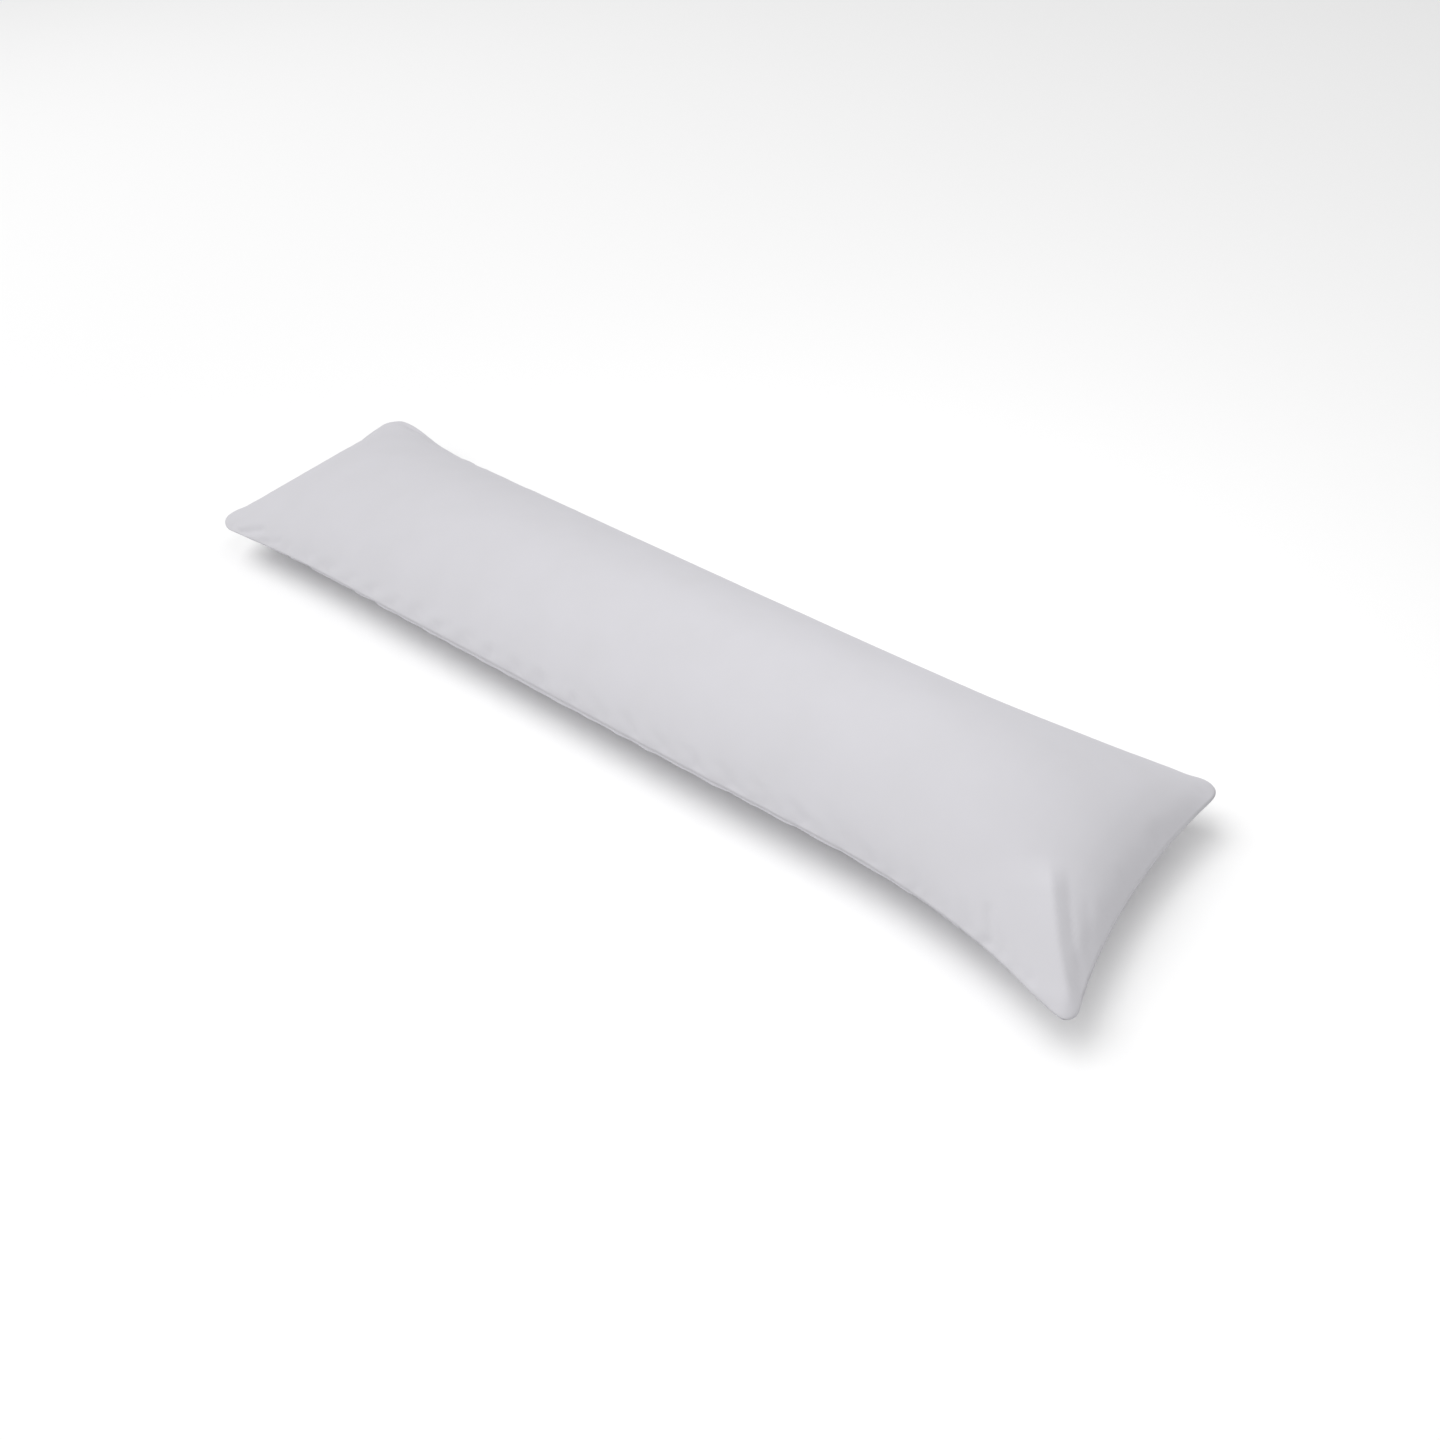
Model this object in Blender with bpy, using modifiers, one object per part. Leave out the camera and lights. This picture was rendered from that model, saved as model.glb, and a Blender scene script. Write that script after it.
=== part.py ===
"""A long filled body pillow, lying on its back.

Two equal cloth panels are sewn together right round their edge and stuffed, so the pillow is
one filled body with a knife-edge seam halfway up. It lies along X, its underside on z = 0.
"""

import math

import bmesh
import bpy

# The cover as it is cut, flat and empty.
CUT_LENGTH = 1.40
CUT_WIDTH = 0.35

# The filling. The crown is the rise of the upper panel above the seam, at the middle.
CROWN_RISE = 0.083
CROWN_TAPER = 0.20  # the +X half is fuller by this share, the -X half is slacker
UNDER_DEPTH = 0.083  # how deep the lower panel would hang below the seam with nothing under it
SEAM_HEIGHT = 0.065  # less than the depth, so the belly is pressed flat on the surface
END_SLOPE_LENGTH = 0.29  # the crown falls to the end seam over this length
END_BLUNTNESS = 0.444  # below 1 makes a blunt end, 0 would be a square one
CROSS_BLUNTNESS = 0.87  # the same across the pillow

# How the seam line lies, seen from above and from the side.
END_DRAW_IN = {"+X": 0.022, "-X": 0.042}  # the middle of each end is pulled in between its corners
SIDE_BOW = -0.0075  # the whole body bends a little towards -Y
CORNER_DROOP = 0.009  # the four corners hang lower than the seam between them
DROOP_POWER = 4
CORNER_RADIUS = 0.018

# The coarse cage under the smooth skin.
CELLS_ALONG = 26
CELLS_ACROSS = 16
SKIN_LEVELS = 1
EVEN_SHARE = 0.4  # of the spacing of its rows; the rest closes up towards the seams
SEAM_CREASE = 1.0
WELD_DISTANCE = 1e-5

COVER_COLOUR = (0.67, 0.66, 0.68, 1.0)
COVER_ROUGHNESS = 0.85


def clear_scene():
    for old in list(bpy.data.objects):
        bpy.data.objects.remove(old)


def station(t):
    """Moves an even cage row, -1 to 1, towards the nearer seam."""
    return EVEN_SHARE * t + (1 - EVEN_SHARE) * math.sin(t * math.pi / 2)


def end_fall(u):
    """1 along the body, falling to 0 at each end seam."""
    from_end = (1 - abs(u)) * CUT_LENGTH / 2 / END_SLOPE_LENGTH
    return (1 - (1 - min(from_end, 1)) ** 2) ** END_BLUNTNESS


def crown_rise(u):
    return CROWN_RISE * (1 + CROWN_TAPER * u) * end_fall(u)


def half_width(u):
    """Half the width left between the side seams.

    An arch of rise r over a half chord b takes about b + 2 r^2 / (3 b) of cloth, and that
    is half the cut width, so a fuller section is a narrower one and the corners flare out.
    """
    cloth = CUT_WIDTH / 2
    return (cloth + math.sqrt(cloth**2 - 8 / 3 * crown_rise(u) ** 2)) / 2


def half_length(u, v):
    draw_in = END_DRAW_IN["+X"] if u > 0 else END_DRAW_IN["-X"]
    return CUT_LENGTH / 2 - draw_in * (1 - v**2)


def round_corner(x, y, end_x, side_y):
    """Moves a point that lies in a corner of the outline inside the arc that rounds it."""
    past_x = abs(x) - (end_x - CORNER_RADIUS)
    past_y = abs(y) - (side_y - CORNER_RADIUS)
    if min(past_x, past_y) <= 0:
        return x, y
    cut = 1 - max(past_x, past_y) / math.hypot(past_x, past_y)
    return x - math.copysign(cut * past_x, x), y - math.copysign(cut * past_y, y)


def seam_height(u):
    return SEAM_HEIGHT - CORNER_DROOP * abs(u) ** DROOP_POWER


def skin_point(u, v, side):
    """A point of the upper (side 1) or lower (side -1) panel; u and v run from -1 to 1."""
    x, y = u * half_length(u, v), v * half_width(u)
    x, y = round_corner(x, y, half_length(u, v), half_width(u))
    y += SIDE_BOW * (1 - u**2)
    arch = (1 - v**2) ** CROSS_BLUNTNESS
    if side > 0:
        z = seam_height(u) + crown_rise(u) * arch
    else:
        z = max(seam_height(u) - UNDER_DEPTH * end_fall(u) * arch, 0.0)
    return x, y, z


def add_panel(cage, side):
    """One panel of the cover: a grid over -1..1, shaped, with its faces pointing outwards."""
    grid = bmesh.ops.create_grid(cage, x_segments=CELLS_ALONG, y_segments=CELLS_ACROSS, size=1.0)
    for vertex in grid["verts"]:
        vertex.co = skin_point(station(vertex.co.x), station(vertex.co.y), side)
    if side < 0:
        faces = {face for vertex in grid["verts"] for face in vertex.link_faces}
        bmesh.ops.reverse_faces(cage, faces=list(faces))


def sew_edges(cage):
    """Joins the panels right round and keeps that line sharp under the smooth skin."""
    crease = cage.edges.layers.float.new("crease_edge")
    border = [edge for edge in cage.edges if edge.is_boundary]
    for edge in border:
        edge[crease] = SEAM_CREASE
    ends = {vertex for edge in border for vertex in edge.verts}
    bmesh.ops.remove_doubles(cage, verts=list(ends), dist=WELD_DISTANCE)


def cover_material():
    material = bpy.data.materials.new("brushed microfibre")
    material.use_nodes = True
    shader = material.node_tree.nodes["Principled BSDF"]
    shader.inputs["Base Color"].default_value = COVER_COLOUR
    shader.inputs["Roughness"].default_value = COVER_ROUGHNESS
    shader.inputs["Metallic"].default_value = 0.0
    return material


def make_body_pillow():
    cage = bmesh.new()
    for side in (1, -1):
        add_panel(cage, side)
    sew_edges(cage)
    mesh = bpy.data.meshes.new("body_pillow")
    cage.to_mesh(mesh)
    cage.free()
    mesh.shade_smooth()
    mesh.materials.append(cover_material())
    pillow = bpy.data.objects.new("body_pillow", mesh)
    skin = pillow.modifiers.new("smooth skin", "SUBSURF")
    skin.levels = SKIN_LEVELS
    skin.render_levels = SKIN_LEVELS
    return pillow


def main():
    clear_scene()
    collection = bpy.data.collections.new("body pillow")
    bpy.context.scene.collection.children.link(collection)
    collection.objects.link(make_body_pillow())


main()
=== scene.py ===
import math
import bmesh
import bpy
import numpy as np
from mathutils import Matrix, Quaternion, Vector
from mathutils.bvhtree import BVHTree


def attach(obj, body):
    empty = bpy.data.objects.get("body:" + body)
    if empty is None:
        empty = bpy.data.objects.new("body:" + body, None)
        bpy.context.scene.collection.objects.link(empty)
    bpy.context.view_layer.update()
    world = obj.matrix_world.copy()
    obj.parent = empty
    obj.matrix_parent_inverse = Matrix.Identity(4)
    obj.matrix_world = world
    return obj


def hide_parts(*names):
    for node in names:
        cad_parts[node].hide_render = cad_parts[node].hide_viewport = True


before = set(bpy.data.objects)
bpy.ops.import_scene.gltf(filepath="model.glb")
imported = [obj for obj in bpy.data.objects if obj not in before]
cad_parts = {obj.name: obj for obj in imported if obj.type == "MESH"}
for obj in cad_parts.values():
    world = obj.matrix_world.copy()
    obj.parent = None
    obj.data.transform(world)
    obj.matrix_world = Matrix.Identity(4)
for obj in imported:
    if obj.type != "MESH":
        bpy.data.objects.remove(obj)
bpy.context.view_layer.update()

# ------------------------------------------------------------------ sizes, in metres
MM = 0.001
CUT_LENGTH = 1.40          # one panel of the cover, flat, seam to seam
CUT_WIDTH = 0.35
CELL = 7.0 * MM            # panel grid before the last subdivision
CELLS_ALONG = round(CUT_LENGTH / CELL)
CELLS_ACROSS = round(CUT_WIDTH / CELL)
WELD = 0.01 * MM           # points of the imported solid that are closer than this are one
SEAM_FOLD = 0.6            # faces meet at the seam where the cosine of their turn is under this
CAST_FROM = 1.0            # the panels are laid on the solid's skin from this far above and below
TINY = 1e-12               # keeps a division by a length of nothing from failing

# The filling and how the cloth settles round it. Slack is spare cloth, as a share of its length.
FILL_SWELL = 1.03          # the filling's volume, as a share of what the solid's skin holds
SETTLE_FRAMES = 25
MOST_MOVE = 22.0 * MM      # the furthest that the cloth settles away from the solid's skin
BODY_SLACK = -0.003        # drawn slightly tight over the crown
SEAM_SLACK = 0.036         # eased into the seam, where the thread gathers it
SEAM_SLACK_REACH = 16 * MM
FAR_SIDE_SHARE = 0.6       # the far side and ends are sewn flatter than the near side
MOST_SLACK = 0.15          # the widest slack that the cloth's weights can hold
EASE_SPREAD = 0.8          # the seam's slack varies along it by up to this share of itself,
LONG_WAVE = (37.0, 1.3)    # as two waves multiplied: radians a metre, and radians at the middle
SHORT_WAVE = (91.0, 0.4)

# The turned seam: two lips that roll into a fine groove where the panels meet.
LIP = 0.9 * MM
GROOVE_DEPTH = 1.1 * MM
STITCH_PITCH = 3.0 * MM
STITCH_LENGTH = 2.3 * MM
THREAD_RADIUS = 0.28 * MM
BEAD_SIDES = 6             # faces round each stitch and along it
BEAD_RINGS = 4

# How far back along the seam each corner's point is rounded off.
CORNERS = (
    # name         side x  side y  rounding
    ("near left",    -1,     -1,   54 * MM),
    ("near right",    1,     -1,   12 * MM),
    ("far right",     1,      1,   26 * MM),
    ("far left",     -1,      1,   22 * MM),
)
# Where the filling pushes the seam out of line: a place on it, the length over which the push dies
# away on either side, and the push along x, y and z in millimetres.
SEAM_PUSHES = (
    # place               reach       push
    ((-0.694, -0.165),    45 * MM,    (4.0, 4.0, 4.0)),
    ((0.694, -0.166),     25 * MM,    (3.0, -2.0, -1.0)),
    ((0.665, -0.165),     45 * MM,    (0.0, -4.0, -1.0)),
    ((0.600, 0.163),     130 * MM,    (0.0, -5.0, 0.0)),
    ((0.694, 0.166),      40 * MM,    (-1.0, 0.0, 0.0)),
    ((-0.694, 0.166),     45 * MM,    (3.0, 1.0, -1.0)),
    ((-0.694, 0.100),     50 * MM,    (-4.0, 0.0, 4.0)),
    ((-0.625, 0.166),     65 * MM,    (0.0, 8.0, 4.0)),
    ((-0.150, 0.160),    280 * MM,    (0.0, -4.0, 0.0)),
    ((-0.060, -0.160),   220 * MM,    (0.0, 3.0, 0.0)),
)
SEAM_STEP = 2 * MM         # between the seam's points while its corners are shaped

GROUND_SIZE = 3.0          # the square that the cloth settles on
GROUND_GAP = 2.0 * MM      # the cloth is stopped this far above it
REST_GAP = 0.2 * MM        # and rests this far above the studio floor, so that no faces coincide
FLOOR_SIZE = 60.0


def linear(hex_colour):
    """An sRGB hex colour as the linear RGBA that a shader takes."""
    parts = [int(hex_colour[i:i + 2], 16) / 255 for i in (1, 3, 5)]
    bent = [p / 12.92 if p <= 0.04045 else ((p + 0.055) / 1.055) ** 2.4 for p in parts]
    return (*bent, 1.0)


def smooth_step(x):
    """0 up to 0, 1 from 1 on, and an even rise between."""
    x = np.clip(x, 0.0, 1.0)
    return x * x * (3 - 2 * x)


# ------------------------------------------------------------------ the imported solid's seam and skin
def is_seam(edge):
    """The seam is where a face that looks up meets one that looks down, at an angle."""
    if len(edge.link_faces) != 2:
        return False
    one, other = (face.normal for face in edge.link_faces)
    return one.z * other.z < 0 and one.dot(other) < SEAM_FOLD


def read_solid(solid):
    """The solid's seam points in order, anticlockwise from above, and its skin for ray casts."""
    shell = bmesh.new()
    shell.from_mesh(solid.data)
    bmesh.ops.remove_doubles(shell, verts=shell.verts, dist=WELD)
    shell.normal_update()
    seam_edges = {edge for edge in shell.edges if is_seam(edge)}
    seam_verts = (vert for edge in seam_edges for vert in edge.verts)
    here = min(seam_verts, key=lambda vert: tuple(vert.co))
    ring = []
    while here is not None:
        ring.append(here)
        onward = [edge.other_vert(here) for edge in here.link_edges if edge in seam_edges]
        here = next((vert for vert in onward if vert not in ring), None)
    points = np.array([vert.co[:] for vert in ring])
    skin = BVHTree.FromBMesh(shell)
    shell.free()
    ahead = np.roll(points, -1, axis=0)
    turning = (points[:, 0] * ahead[:, 1] - points[:, 1] * ahead[:, 0]).sum()
    return (points if turning > 0 else points[::-1]), skin


def corner_of(ring, side_x, side_y):
    """The number of the seam point that is furthest out towards one corner."""
    return int(np.argmax(side_x * ring[:, 0] / CUT_LENGTH + side_y * ring[:, 1] / CUT_WIDTH))


def run_of_seam(ring, first, last, cells):
    """The seam between two corners, as evenly spaced points."""
    if last < first:
        last += len(ring)
    stretch = ring[np.arange(first, last + 1) % len(ring)]
    lengths = np.linalg.norm(np.diff(stretch, axis=0), axis=1)
    walked = np.concatenate([[0.0], np.cumsum(lengths)])
    wanted = np.linspace(0.0, walked[-1], cells + 1)
    return np.stack([np.interp(wanted, walked, stretch[:, axis]) for axis in range(3)], axis=1)


def shape_seam(ring):
    """The seam with its corners rounded off, pushed to where the filling holds it."""
    length = np.linalg.norm(np.roll(ring, -1, axis=0) - ring, axis=1).sum()
    count = round(length / SEAM_STEP)
    ring = run_of_seam(ring, 0, len(ring), count)[:-1]

    def steps_from(place):
        """Each point's steps along the seam from one place, less than 0 before it."""
        return (np.arange(count) - place + count // 2) % count - count // 2

    shaped = ring.copy()
    for _, side_x, side_y, rounding in CORNERS:
        tip = corner_of(ring, side_x, side_y)
        reach = round(rounding / SEAM_STEP)
        before, after = ring[tip - reach], ring[(tip + reach) % count]
        share = np.clip((steps_from(tip) / reach + 1) / 2, 0, 1)[:, None]
        curve = (1 - share) ** 2 * before + 2 * share * (1 - share) * ring[tip] + share ** 2 * after
        shaped = np.where(np.abs(steps_from(tip))[:, None] < reach, curve, shaped)
    for place, reach, push in SEAM_PUSHES:
        nearest = int(np.argmin(np.linalg.norm(ring[:, :2] - place, axis=1)))
        fade = np.exp(-(steps_from(nearest) * SEAM_STEP / reach) ** 2)
        shaped += fade[:, None] * np.array(push) * MM
    return shaped


def panel_plan(ring):
    """A grid of points inside the seam, blended from its four sides, indexed [along, across]."""
    near_left, near_right = corner_of(ring, -1, -1), corner_of(ring, 1, -1)
    far_right, far_left = corner_of(ring, 1, 1), corner_of(ring, -1, 1)
    near = run_of_seam(ring, near_left, near_right, CELLS_ALONG)
    right = run_of_seam(ring, near_right, far_right, CELLS_ACROSS)
    far = run_of_seam(ring, far_right, far_left, CELLS_ALONG)[::-1]
    left = run_of_seam(ring, far_left, near_left, CELLS_ACROSS)[::-1]
    along = np.linspace(0, 1, CELLS_ALONG + 1)[:, None, None]
    across = np.linspace(0, 1, CELLS_ACROSS + 1)[None, :, None]
    between_sides = (1 - across) * near[:, None] + across * far[:, None]
    between_ends = (1 - along) * left[None] + along * right[None]
    corners = (
        (1 - along) * (1 - across) * near[0] + along * (1 - across) * near[-1]
        + (1 - along) * across * far[0] + along * across * far[-1]
    )
    return between_sides + between_ends - corners


def drop_on_skin(plan, skin, from_above):
    """The plan laid on the solid's skin, from above or below, each line across evenly spaced."""
    start = CAST_FROM if from_above else -CAST_FROM
    panel = plan.copy()
    for i in range(1, CELLS_ALONG):
        for j in range(1, CELLS_ACROSS):
            x, y, _ = plan[i, j]
            hit = skin.ray_cast(Vector((x, y, start)), Vector((0, 0, -start)))
            if hit[0] is not None:
                panel[i, j, 2] = hit[0].z
        lengths = np.linalg.norm(np.diff(panel[i], axis=0), axis=1)
        walked = np.concatenate([[0.0], np.cumsum(lengths)])
        wanted = np.linspace(0.0, walked[-1], CELLS_ACROSS + 1)
        evened = [np.interp(wanted, walked, panel[i, :, axis]) for axis in range(3)]
        panel[i] = np.stack(evened, axis=1)
    return panel


# ------------------------------------------------------------------ the cover as one sewn mesh
def grid_faces(index):
    """The four-cornered faces of a grid of point numbers."""
    near, far = index[:, :-1], index[:, 1:]
    return np.stack([near[:-1], near[1:], far[1:], far[:-1]], axis=-1).reshape(-1, 4)


def sew_panels(top, under):
    """Points, faces and cut places of the two panels sharing their seam points.

    A cut place is a point's x and y on the flat cut, and 1 on the top panel, -1 on the under
    panel and 0 on the seam."""
    seam = np.ones(top.shape[:2], bool)
    seam[1:-1, 1:-1] = False
    top_index = np.arange(seam.size).reshape(seam.shape)
    under_index = top_index.copy()
    under_index[~seam] = seam.size + np.arange((~seam).sum())
    points = np.concatenate([top.reshape(-1, 3), under[~seam]])
    faces = np.concatenate([grid_faces(top_index), grid_faces(under_index)[:, ::-1]])
    along = np.linspace(-0.5, 0.5, CELLS_ALONG + 1)[:, None] * CUT_LENGTH
    across = np.linspace(-0.5, 0.5, CELLS_ACROSS + 1)[None, :] * CUT_WIDTH
    flat = np.stack(np.broadcast_arrays(along, across, np.where(seam, 0.0, 1.0)), axis=-1)
    under_flat = flat[~seam] * (1, 1, -1)
    return points, faces, np.concatenate([flat.reshape(-1, 3), under_flat])


def volume_of(points, faces):
    """The volume inside a closed mesh of four-cornered faces."""
    one, two, three, four = (points[faces[:, k]] for k in range(4))
    halves = (one * np.cross(two, three)).sum() + (one * np.cross(three, four)).sum()
    return float(halves / 6)


def mesh_object(name, points, faces):
    mesh = bpy.data.meshes.new(name)
    mesh.from_pydata(points.tolist(), [], faces.tolist())
    mesh.update()
    made = bpy.data.objects.new(name, mesh)
    bpy.context.scene.collection.objects.link(made)
    return made


def flat_square(name, size):
    half = size / 2
    corners = np.array([(-half, -half, 0), (half, -half, 0), (half, half, 0), (-half, half, 0)])
    return mesh_object(name, corners, np.array([(0, 1, 2, 3)]))


def points_of(mesh):
    flat = np.empty(len(mesh.vertices) * 3, np.float32)
    mesh.vertices.foreach_get("co", flat)
    return flat.reshape(-1, 3).astype(float)


def evaluated_mesh(made):
    """A plain mesh of the object with its modifiers worked out."""
    graph = bpy.context.evaluated_depsgraph_get()
    return bpy.data.meshes.new_from_object(made.evaluated_get(graph), depsgraph=graph)


def remove_object(made):
    mesh = made.data
    bpy.data.objects.remove(made)
    bpy.data.meshes.remove(mesh)


def slack_map(places):
    """Spare cloth at each point: eased unevenly into the seam, a little tight over the crown."""
    x, y = places[:, 0], places[:, 1]
    inward = np.minimum(CUT_WIDTH / 2 - np.abs(y), CUT_LENGTH / 2 - np.abs(x))
    near_side = (y < 0) & (CUT_WIDTH / 2 + y < CUT_LENGTH / 2 - np.abs(x))
    share = np.where(near_side, 1.0, FAR_SIDE_SHARE)
    (long_turn, long_start), (short_turn, short_start) = LONG_WAVE, SHORT_WAVE
    waves = EASE_SPREAD * np.sin(x * long_turn + long_start) * np.sin(x * short_turn + short_start)
    eased = SEAM_SLACK * share * (1 + waves)
    return BODY_SLACK + eased * np.exp(-(inward / SEAM_SLACK_REACH) ** 2)


def weigh(made, name, weights):
    """Adds a vertex group with these weights, and returns its name."""
    group = made.vertex_groups.new(name=name)
    for index, weight in enumerate(weights):
        if weight > 0:
            group.add([index], float(weight), "REPLACE")
    return name


def settle_filling(points, faces, places):
    """The cover pressed out by its filling and at rest on the floor: a short cloth simulation.

    The seam holds its line. The spare cloth eased into it buckles into gathers."""
    cover = mesh_object("cover_settling", points, faces)
    cloth = cover.modifiers.new("cloth", "CLOTH")
    fabric = cloth.settings
    fabric.quality = 5
    fabric.mass = 0.3
    fabric.tension_stiffness = 15
    fabric.compression_stiffness = 15
    fabric.shear_stiffness = 5
    fabric.bending_stiffness = 0.5
    fabric.use_pressure = True
    fabric.use_pressure_volume = True
    fabric.target_volume = volume_of(points, faces) * FILL_SWELL
    fabric.uniform_pressure_force = 0
    fabric.pressure_factor = 100
    fabric.effector_weights.gravity = 0
    fabric.vertex_group_mass = weigh(cover, "seam", places[:, 2] == 0)
    # A weight of 0 is MOST_SLACK, 0.5 is the cut size and 1 is as much too tight.
    slack = slack_map(places)
    fabric.vertex_group_shrink = weigh(cover, "tight", 0.5 - slack / MOST_SLACK / 2)
    fabric.shrink_min = -MOST_SLACK
    fabric.shrink_max = MOST_SLACK
    cloth.collision_settings.distance_min = GROUND_GAP / 2
    ground = flat_square("ground_settling", GROUND_SIZE)
    ground.location.z = -GROUND_GAP
    ground.modifiers.new("ground", "COLLISION")
    ground.collision.thickness_outer = GROUND_GAP / 2
    scene = bpy.context.scene
    scene.frame_start, scene.frame_end = 1, SETTLE_FRAMES
    cloth.point_cache.frame_start, cloth.point_cache.frame_end = 1, SETTLE_FRAMES
    for step in range(1, SETTLE_FRAMES + 1):
        scene.frame_set(step)
    settled_mesh = evaluated_mesh(cover)
    settled = points_of(settled_mesh)
    settled[:, 2] = np.maximum(settled[:, 2], REST_GAP)
    bpy.data.meshes.remove(settled_mesh)
    remove_object(cover)
    remove_object(ground)
    scene.frame_set(1)
    move = settled - points
    far = np.linalg.norm(move, axis=1, keepdims=True)
    return points + move * np.minimum(1.0, MOST_MOVE / np.maximum(far, TINY))


def halve_cells(points, faces, places):
    """One round of subdivision, with the seam held sharp, and the cut places carried along."""
    rough = mesh_object("cover_rough", points, faces)
    place = rough.data.attributes.new("cut_place", "FLOAT_VECTOR", "POINT")
    place.data.foreach_set("vector", places.astype(np.float32).ravel())
    on_seam = places[:, 2] == 0
    crease = rough.data.attributes.new("crease_edge", "FLOAT", "EDGE")
    ends = np.empty(len(rough.data.edges) * 2, np.int32)
    rough.data.edges.foreach_get("vertices", ends)
    crease.data.foreach_set("value", on_seam[ends.reshape(-1, 2)].all(axis=1).astype(np.float32))
    finer = rough.modifiers.new("finer", "SUBSURF")
    finer.levels = finer.render_levels = 1
    mesh = evaluated_mesh(rough)
    remove_object(rough)
    fine_places = np.empty(len(mesh.vertices) * 3, np.float32)
    mesh.attributes["cut_place"].data.foreach_get("vector", fine_places)
    fine_faces = np.empty(len(mesh.polygons) * 4, np.int32)
    mesh.polygons.foreach_get("vertices", fine_faces)
    fine_points = points_of(mesh)
    bpy.data.meshes.remove(mesh)
    return fine_points, fine_faces.reshape(-1, 4), fine_places.reshape(-1, 3).astype(float)


def point_normals(points, faces):
    """Each point's outward direction, from the faces round it."""
    across_one = points[faces[:, 2]] - points[faces[:, 0]]
    across_two = points[faces[:, 3]] - points[faces[:, 1]]
    face_normals = np.cross(across_one, across_two)
    normals = np.zeros_like(points)
    for k in range(4):
        np.add.at(normals, faces[:, k], face_normals)
    return normals / np.maximum(np.linalg.norm(normals, axis=1, keepdims=True), TINY)


# ------------------------------------------------------------------ the seam
def seam_loop(faces, places):
    """Seam points in order round the cover, from the top panel's open border."""
    top = faces[places[faces].mean(axis=1)[:, 2] > 0]
    edges = {}
    for k in range(4):
        for one, two in zip(top[:, k], top[:, (k + 1) % 4]):
            edges[(one, two)] = None
    following = {one: two for one, two in edges if (two, one) not in edges}
    start = min(following)
    loop = [start]
    while following[loop[-1]] != start:
        loop.append(following[loop[-1]])
    return np.array(loop)


def roll_seam(points, faces, places, loop):
    """Parts the panels at the seam into two lips with a groove between them.

    Returns the groove line too."""
    count = len(points)
    is_top = places[faces].mean(axis=1)[:, 2] > 0
    spot = np.full(count, -1)
    spot[loop] = np.arange(len(loop))
    lips = {}
    for name, own in (("top", faces[is_top]), ("under", faces[~is_top])):
        pull = np.zeros((len(loop), 3))
        middle = points[own].mean(axis=1)
        for k in range(4):
            at = spot[own[:, k]]
            np.add.at(pull, at[at >= 0], (middle - points[own[:, k]])[at >= 0])
        along = points[np.roll(loop, -1)] - points[np.roll(loop, 1)]
        along /= np.linalg.norm(along, axis=1, keepdims=True)
        pull -= (pull * along).sum(axis=1, keepdims=True) * along
        lips[name] = pull / np.linalg.norm(pull, axis=1, keepdims=True)
    inward = lips["top"] + lips["under"]
    inward /= np.maximum(np.linalg.norm(inward, axis=1, keepdims=True), TINY)
    seam = points[loop]
    groove = seam + inward * GROOVE_DEPTH
    under_lip = seam + lips["under"] * LIP
    points = np.concatenate([points, groove, under_lip])
    points[loop] = seam + lips["top"] * LIP
    groove_index = count + np.arange(len(loop))
    under_index = groove_index + len(loop)
    new_faces = faces.copy()
    low = new_faces[~is_top]
    new_faces[~is_top] = np.where(spot[low] >= 0, under_index[spot[low]], low)
    loop_ahead = np.roll(loop, -1)
    groove_ahead = np.roll(groove_index, -1)
    under_ahead = np.roll(under_index, -1)
    upper = np.stack([loop_ahead, loop, groove_index, groove_ahead], axis=1)
    lower = np.stack([groove_ahead, groove_index, under_index, under_ahead], axis=1)
    places = np.concatenate([places, places[loop], places[loop]])
    return points, np.concatenate([new_faces, upper, lower]), places, groove


# ------------------------------------------------------------------ creases
# Set folds of the upper panel, placed on its flat cut: from and to in metres, the width on the left
# and on the right of the line and its height in millimetres. A crisp line is an edge: the cloth eases
# up to it from the left and falls straight away to the right. A soft one is rounded.
CREASES = (
    # name                       from               to                 left  right  height  crisp
    ("near right ridge",         (0.700, -0.176),   (0.622, -0.060),   24.0,  19.0,   8.0,   True),
    ("pleat beside the ridge",   (0.686, -0.114),   (0.660, -0.074),    4.0,   4.0,   1.0,   False),
    ("valley beyond the pleat",  (0.692, -0.100),   (0.670, -0.060),    4.5,   4.5,  -1.1,   False),
    ("near left crease",         (-0.670, -0.172),  (-0.588, -0.146),   5.0,   5.0,  -3.2,   False),
    ("lip of the near crease",   (-0.640, -0.174),  (-0.572, -0.152),   4.5,   4.5,   1.8,   False),
    ("second near crease",       (-0.600, -0.172),  (-0.545, -0.152),   4.5,   4.5,  -1.5,   False),
    ("near side tuck",           (0.604, -0.172),   (0.585, -0.132),    5.0,   5.0,  -1.8,   False),
)
CREASE_FADE = 0.22         # share of a crease's length over which it fades in at each end


def line_place(places, start, end):
    """How far along a line each cut place is, as a share of it, and how far to its left."""
    start, end = np.array(start), np.array(end)
    run = end - start
    offset = places[:, :2] - start
    along = offset @ run / (run @ run)
    nearest = np.clip(along, 0, 1)[:, None] * run
    side = np.sign(run[0] * offset[:, 1] - run[1] * offset[:, 0])
    return along, side * np.linalg.norm(offset - nearest, axis=1)


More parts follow.
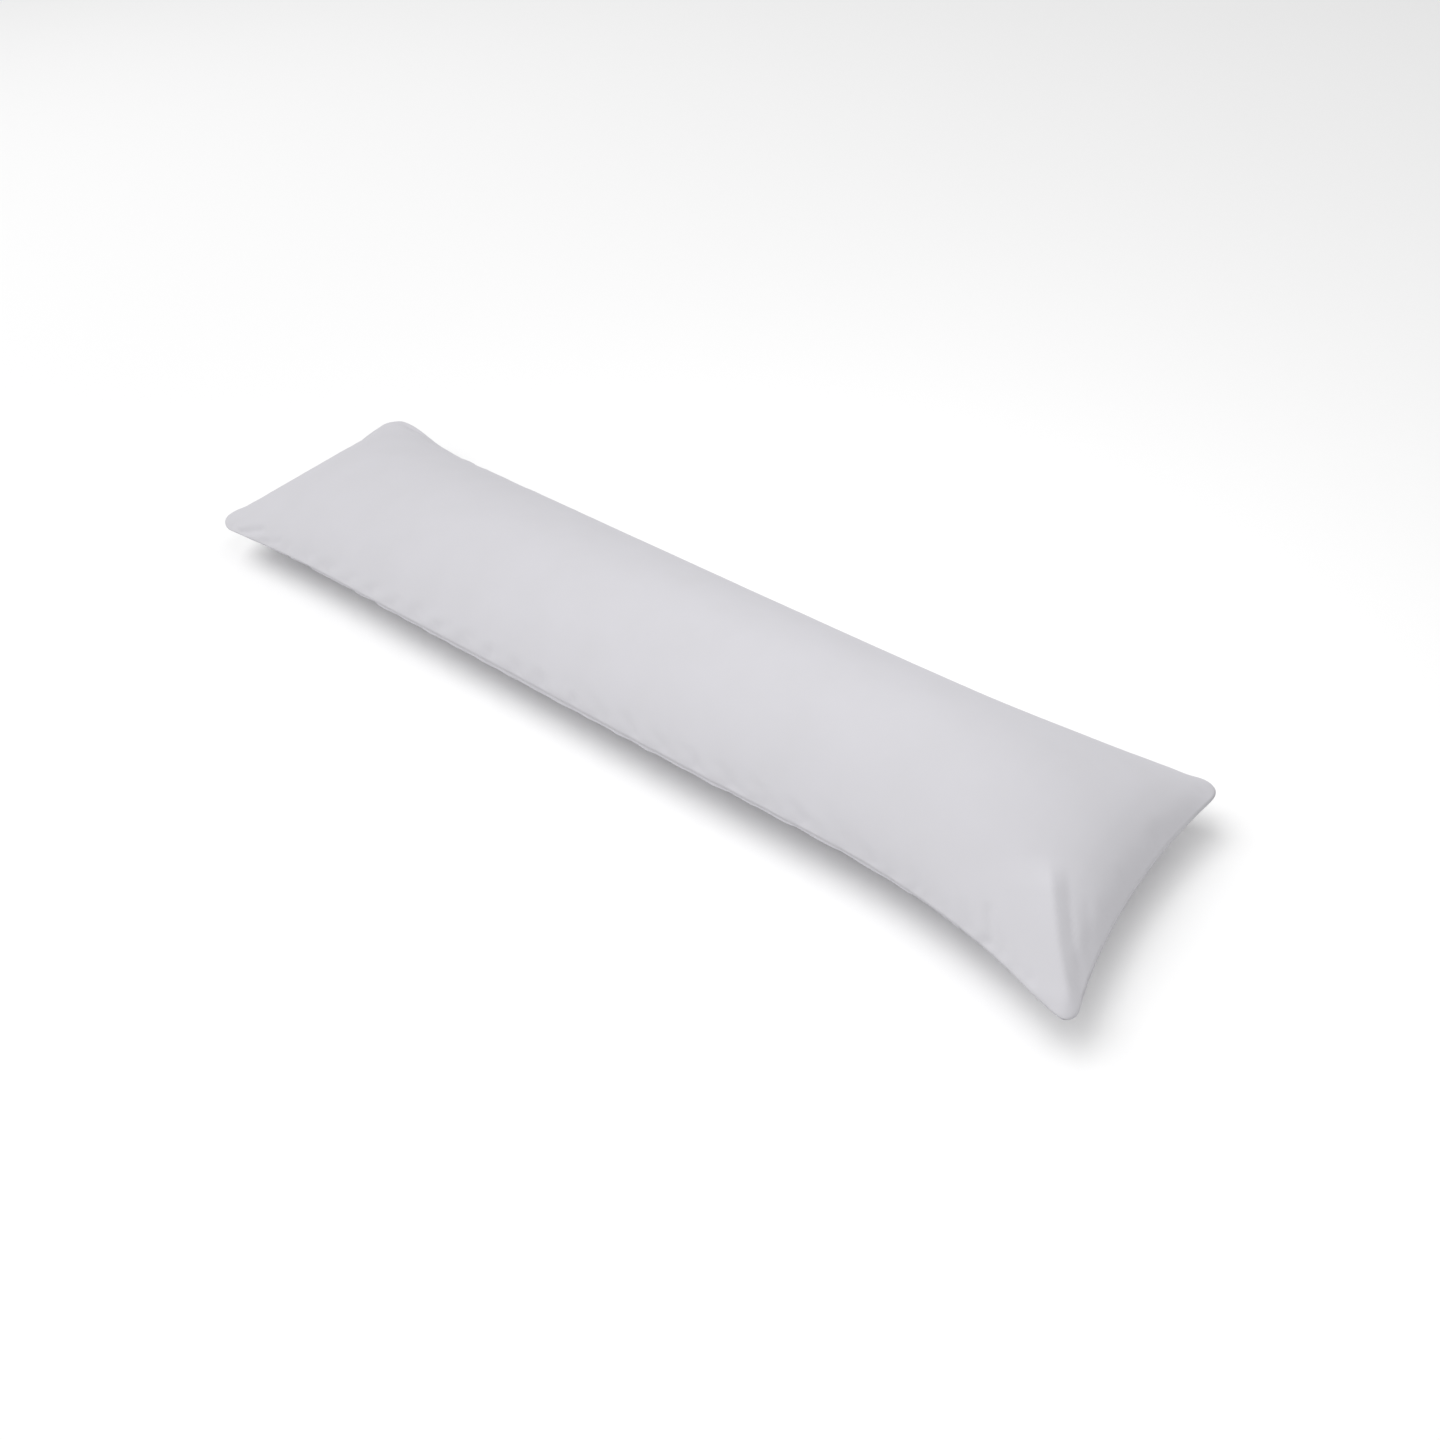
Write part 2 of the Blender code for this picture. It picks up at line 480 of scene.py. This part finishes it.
def press_creases(points, faces, places):
    """The cover with its set folds raised from the cloth or sunk in it."""
    normals = point_normals(points, faces)
    lift = np.zeros(len(points))
    # 0 on the seam and the under panel, and 1 from the first points inside the seam.
    upper = smooth_step(places[:, 2] * 2)
    for _, start, end, left, right, height, crisp in CREASES:
        along, aside = line_place(places, start, end)
        away = np.abs(aside) / (np.where(aside > 0, left, right) * MM)
        edge = np.where(aside > 0, np.exp(-away), np.maximum(1 - away, 0))
        profile = edge if crisp else np.exp(-away ** 2)
        fade = smooth_step(along / CREASE_FADE) * smooth_step((1 - along) / CREASE_FADE)
        lift += height * MM * profile * fade * upper
    return points + normals * lift[:, None]


# ------------------------------------------------------------------ building the cover
def build_cover():
    """The finished cover, and the line of the groove that its thread lies in."""
    ring, skin = read_solid(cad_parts["body_pillow"])
    plan = panel_plan(shape_seam(ring))
    top = drop_on_skin(plan, skin, from_above=True)
    under = drop_on_skin(plan, skin, from_above=False)
    points, faces, places = sew_panels(top, under)
    points = settle_filling(points, faces, places)
    points, faces, places = halve_cells(points, faces, places)
    points = press_creases(points, faces, places)
    loop = seam_loop(faces, places)
    points, faces, places, groove = roll_seam(points, faces, places, loop)
    cover = mesh_object("cover", points, faces)
    cover.data.shade_smooth()
    lay_out_cut(cover.data, places)
    return cover, groove


def lay_out_cut(mesh, places):
    """The UV map: each panel's own flat cut in metres, so that the weave keeps its real size."""
    corners = np.empty(len(mesh.loops), np.int32)
    mesh.loops.foreach_get("vertex_index", corners)
    flat = places[corners][:, :2] + (CUT_LENGTH / 2, CUT_WIDTH / 2)
    layer = mesh.uv_layers.new(name="cut")
    layer.data.foreach_set("uv", flat.astype(np.float32).ravel())


# ------------------------------------------------------------------ seam thread
def add_node(tree, kind, links=None, **settings):
    """Adds a node with its settings, and feeds its sockets from links or plain values."""
    node = tree.nodes.new(kind)
    for name, value in settings.items():
        setattr(node, name, value)
    for socket, source in (links or {}).items():
        if isinstance(source, bpy.types.NodeSocket):
            tree.links.new(source, node.inputs[socket])
        else:
            node.inputs[socket].default_value = source
    return node


STITCH_INPUTS = {
    "Pitch": STITCH_PITCH,
    "Stitch length": STITCH_LENGTH,
    "Thread radius": THREAD_RADIUS,
}


def stitch_tree(finish):
    """Geometry Nodes: a bead of thread at each pitch along the groove line."""
    tree = bpy.data.node_groups.new("seam_stitches", "GeometryNodeTree")
    tree.interface.new_socket("Groove", in_out="INPUT", socket_type="NodeSocketGeometry")
    for name in STITCH_INPUTS:
        tree.interface.new_socket(name, in_out="INPUT", socket_type="NodeSocketFloat")
    tree.interface.new_socket("Stitches", in_out="OUTPUT", socket_type="NodeSocketGeometry")
    given = add_node(tree, "NodeGroupInput").outputs
    line = add_node(tree, "GeometryNodeMeshToCurve", {"Mesh": given["Groove"]})
    spots = add_node(
        tree, "GeometryNodeResampleCurve",
        {"Curve": line.outputs["Curve"], "Length": given["Pitch"]}, mode="LENGTH",
    )
    along = add_node(tree, "GeometryNodeInputTangent")
    turn = add_node(
        tree, "FunctionNodeAlignRotationToVector",
        {"Vector": along.outputs["Tangent"]}, axis="Z",
    )
    half = add_node(
        tree, "ShaderNodeMath", {0: given["Stitch length"], 1: 0.5}, operation="MULTIPLY",
    )
    size = add_node(
        tree, "ShaderNodeCombineXYZ",
        {"X": given["Thread radius"], "Y": given["Thread radius"], "Z": half.outputs[0]},
    )
    bead = add_node(
        tree, "GeometryNodeMeshUVSphere",
        {"Segments": BEAD_SIDES, "Rings": BEAD_RINGS, "Radius": 1.0},
    )
    stitches = add_node(
        tree, "GeometryNodeInstanceOnPoints",
        {"Points": spots.outputs["Curve"], "Instance": bead.outputs["Mesh"],
         "Rotation": turn.outputs["Rotation"], "Scale": size.outputs["Vector"]},
    )
    real = add_node(
        tree, "GeometryNodeRealizeInstances", {"Geometry": stitches.outputs["Instances"]},
    )
    soft = add_node(
        tree, "GeometryNodeSetShadeSmooth", {"Geometry": real.outputs["Geometry"]},
    )
    dyed = add_node(
        tree, "GeometryNodeSetMaterial",
        {"Geometry": soft.outputs["Geometry"], "Material": finish},
    )
    add_node(tree, "NodeGroupOutput", {"Stitches": dyed.outputs["Geometry"]})
    return tree


def build_seam_thread(groove, finish):
    """The seam's stitches as one plain mesh, lying in the groove."""
    line = bpy.data.meshes.new("groove_line")
    count = len(groove)
    edges = [(i, (i + 1) % count) for i in range(count)]
    line.from_pydata(groove.tolist(), edges, [])
    carrier = bpy.data.objects.new("groove_line", line)
    bpy.context.scene.collection.objects.link(carrier)
    stitcher = carrier.modifiers.new("stitches", "NODES")
    tree = stitch_tree(finish)
    stitcher.node_group = tree
    for item in tree.interface.items_tree:
        if item.name in STITCH_INPUTS:
            stitcher[item.identifier] = STITCH_INPUTS[item.name]
    mesh = evaluated_mesh(carrier)
    carrier.modifiers.remove(stitcher)
    remove_object(carrier)
    mesh.name = "seam_thread"
    thread = bpy.data.objects.new("seam_thread", mesh)
    bpy.context.scene.collection.objects.link(thread)
    return thread


# ------------------------------------------------------------------ materials
COVER_GREYS = ("#C6C5C9", "#CCCBD0")
COVER_SHEEN = "#E6E5EA"
# Painted light and shade on the thread: the darker grey is painted shade in the grooves between plies,
# and the lighter grey is painted light on the ridge tops.
THREAD_SHADED_TO_LIT_GREYS = ("#C6C5CA", "#D2D1D6")
PAPER_WHITE = "#F9F9F9"
NAP_CLOUD = 60 * MM        # the nap lies in clouds about this far across
TUFT = 0.9 * MM            # real fibre ends are about 0.01 mm thick, drawn this coarse to show
THREAD_PITCH = 1.2 * MM    # real threads are 0.25 mm apart, drawn this far apart to show
PLY_PITCH = 0.5 * MM       # the sewing thread's plies turn over at this pitch
PAPER_CLOUD = 400 * MM     # paper fibre is too fine to show: a faint cloudiness stands for it


def new_finish(name):
    finish = bpy.data.materials.new(name)
    finish.use_nodes = True
    finish.node_tree.nodes.clear()
    return finish, finish.node_tree


def blend_colours(tree, share, none, full):
    """The colour output of a mix between two sRGB hex colours."""
    mix = add_node(tree, "ShaderNodeMix", data_type="RGBA")
    tree.links.new(share, mix.inputs["Factor"])
    one, other = (socket for socket in mix.inputs if socket.type == "RGBA")
    one.default_value, other.default_value = linear(none), linear(full)
    return next(socket for socket in mix.outputs if socket.type == "RGBA")


def wave_scale(pitch):
    """The Wave texture's Scale for bands that repeat at this pitch in metres."""
    return 2 * math.pi / 20 / pitch


def brushed_microfibre():
    """Brushed polyester microfibre, plain woven, dyed a pale cool grey and brushed on its face.

    The brushing leaves a short even nap: the eye sees a matt, powdery cloth with a faint light
    rim where it turns away, almost no gloss, and a barely visible cloudiness where the nap lies
    in different directions."""
    finish, tree = new_finish("brushed_microfibre_cover")
    cut = add_node(tree, "ShaderNodeUVMap", uv_map="cut").outputs["UV"]
    here = add_node(tree, "ShaderNodeTexCoord").outputs["Object"]
    nap = add_node(
        tree, "ShaderNodeTexNoise",
        {"Vector": here, "Scale": 1 / NAP_CLOUD, "Detail": 3.0, "Roughness": 0.5},
    ).outputs["Fac"]
    tufts = add_node(
        tree, "ShaderNodeTexNoise",
        {"Vector": cut, "Scale": 1 / TUFT, "Detail": 2.0, "Roughness": 0.6},
    ).outputs["Fac"]
    threads_in = {
        "Vector": cut, "Scale": wave_scale(THREAD_PITCH), "Distortion": 0.6, "Detail": 1.0,
    }
    warp = add_node(tree, "ShaderNodeTexWave", threads_in, bands_direction="X").outputs["Fac"]
    weft = add_node(tree, "ShaderNodeTexWave", threads_in, bands_direction="Y").outputs["Fac"]
    weave = add_node(
        tree, "ShaderNodeMath", {0: warp, 1: weft}, operation="MAXIMUM",
    ).outputs[0]
    # The nap's clouds run from a tenth to nine tenths of the way between the two greys.
    shade = add_node(
        tree, "ShaderNodeMath", {0: nap, 1: 0.8, 2: 0.1}, operation="MULTIPLY_ADD",
    ).outputs[0]
    colour = blend_colours(tree, shade, *COVER_GREYS)
    rough = add_node(
        tree, "ShaderNodeMapRange", {"Value": tufts, "To Min": 0.82, "To Max": 0.96},
    ).outputs["Result"]
    threads = add_node(
        tree, "ShaderNodeBump", {"Strength": 0.10, "Distance": 0.1 * MM, "Height": weave},
    )
    fuzz = add_node(
        tree, "ShaderNodeBump",
        {"Strength": 0.25, "Distance": 0.15 * MM, "Height": tufts,
         "Normal": threads.outputs["Normal"]},
    )
    cloth = add_node(
        tree, "ShaderNodeBsdfPrincipled",
        {"Base Color": colour, "Roughness": rough, "IOR": 1.5, "Specular IOR Level": 0.25,
         "Sheen Weight": 0.25, "Sheen Roughness": 0.5, "Sheen Tint": linear(COVER_SHEEN),
         "Normal": fuzz.outputs["Normal"]},
    )
    add_node(tree, "ShaderNodeOutputMaterial", {"Surface": cloth.outputs["BSDF"]})
    return finish


def spun_polyester():
    """Spun polyester sewing thread, two plies twisted together, dyed to match the cover.

    Twisting makes fine slanting ridges with a dull sheen along them. Their colour is painted: painted
    shade in the grooves between the plies, and painted light on the ridge tops."""
    finish, tree = new_finish("spun_polyester_thread")
    here = add_node(tree, "ShaderNodeTexCoord").outputs["Object"]
    plies = add_node(
        tree, "ShaderNodeTexWave",
        {"Vector": here, "Scale": wave_scale(PLY_PITCH), "Distortion": 1.0},
        bands_direction="DIAGONAL",
    ).outputs["Fac"]
    twist = add_node(
        tree, "ShaderNodeBump", {"Strength": 0.4, "Distance": 0.05 * MM, "Height": plies},
    )
    # Painted light and shade: the ply wave that raises the ridges also paints them lighter, and paints
    # the grooves between them darker.
    colour = blend_colours(tree, plies, *THREAD_SHADED_TO_LIT_GREYS)
    thread = add_node(
        tree, "ShaderNodeBsdfPrincipled",
        {"Base Color": colour, "Roughness": 0.65, "IOR": 1.55,
         "Sheen Weight": 0.2, "Normal": twist.outputs["Normal"]},
    )
    add_node(tree, "ShaderNodeOutputMaterial", {"Surface": thread.outputs["BSDF"]})
    return finish


def pale_studio_paper():
    """Seamless studio background paper: smooth, matt and nearly white."""
    finish, tree = new_finish("studio_paper")
    here = add_node(tree, "ShaderNodeTexCoord").outputs["Object"]
    cloud = add_node(
        tree, "ShaderNodeTexNoise", {"Vector": here, "Scale": 1 / PAPER_CLOUD, "Detail": 2.0},
    ).outputs["Fac"]
    rough = add_node(
        tree, "ShaderNodeMapRange", {"Value": cloud, "To Min": 0.85, "To Max": 0.95},
    ).outputs["Result"]
    paper = add_node(
        tree, "ShaderNodeBsdfPrincipled",
        {"Base Color": linear(PAPER_WHITE), "Roughness": rough, "Specular IOR Level": 0.2},
    )
    add_node(tree, "ShaderNodeOutputMaterial", {"Surface": paper.outputs["BSDF"]})
    return finish


# ------------------------------------------------------------------ studio
CAMERA_AZIMUTH = 44.20     # degrees round from looking along +Y
CAMERA_ELEVATION = 44.53
CAMERA_ROLL = -6.61
CAMERA_DISTANCE = 1.405    # to the aim point
AIM_RIGHT = 0.1200         # the aim point, from the middle of the seam plane, on the picture's axes
AIM_UP = -0.1217
SEAM_HEIGHT = 0.065        # the seam plane, above the floor
LENS = 28.0                # the camera's focal length and the width of its sensor, in millimetres
SENSOR = 36.0
AIR_LIGHT = 0.565          # strength of the even white light from all round
SOFTBOXES = (
    # name             azimuth  elevation  distance  size  power  aimed at x, y
    ("key",              -60,      63,       8.0,    6.4,   350,  (0.0, 0.0)),
    ("near_end_fill",      0,      90,       1.3,    1.0,   4.0,  (0.42, -0.02)),
)


def direction(azimuth, elevation):
    """Unit vector from the pillow towards a camera or light at that angle."""
    a, e = math.radians(azimuth), math.radians(elevation)
    return Vector((math.sin(a) * math.cos(e), -math.cos(a) * math.cos(e), math.sin(e)))


def place_camera():
    back = direction(CAMERA_AZIMUTH, CAMERA_ELEVATION)
    turned = back.to_track_quat("Z", "Y") @ Quaternion((0, 0, 1), math.radians(CAMERA_ROLL))
    aim = Vector((0, 0, SEAM_HEIGHT)) + turned @ Vector((AIM_RIGHT, AIM_UP, 0))
    lens = bpy.data.cameras.new("camera")
    lens.sensor_width = SENSOR
    lens.lens = LENS
    camera = bpy.data.objects.new("camera", lens)
    camera.rotation_mode = "QUATERNION"
    camera.rotation_quaternion = turned
    camera.location = aim + back * CAMERA_DISTANCE
    bpy.context.scene.collection.objects.link(camera)
    bpy.context.scene.camera = camera


def place_softbox(name, azimuth, elevation, distance, size, power, aim):
    """A square softbox that faces its aim point on the floor: degrees, metres and watts."""
    lamp = bpy.data.lights.new(name, "AREA")
    lamp.shape = "SQUARE"
    lamp.size = size
    lamp.energy = power
    box = bpy.data.objects.new(name, lamp)
    towards = direction(azimuth, elevation)
    box.rotation_mode = "QUATERNION"
    box.rotation_quaternion = towards.to_track_quat("Z", "Y")
    box.location = Vector((*aim, 0)) + towards * distance
    bpy.context.scene.collection.objects.link(box)


def light_studio():
    world = bpy.data.worlds.new("studio_air")
    world.use_nodes = True
    air = world.node_tree.nodes["Background"]
    air.inputs["Color"].default_value = linear("#FFFFFF")
    air.inputs["Strength"].default_value = AIR_LIGHT
    bpy.context.scene.world = world
    for softbox in SOFTBOXES:
        place_softbox(*softbox)


def lay_floor():
    floor = flat_square("studio_floor", FLOOR_SIZE)
    floor.data.materials.append(pale_studio_paper())


# ------------------------------------------------------------------ putting it together
place_camera()
cover, groove_line = build_cover()
cover.data.materials.append(brushed_microfibre())
seam_thread = build_seam_thread(groove_line, spun_polyester())
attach(cover, "root")
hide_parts("body_pillow")
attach(seam_thread, "root")
lay_floor()
light_studio()
bpy.context.scene.view_settings.view_transform = "Standard"
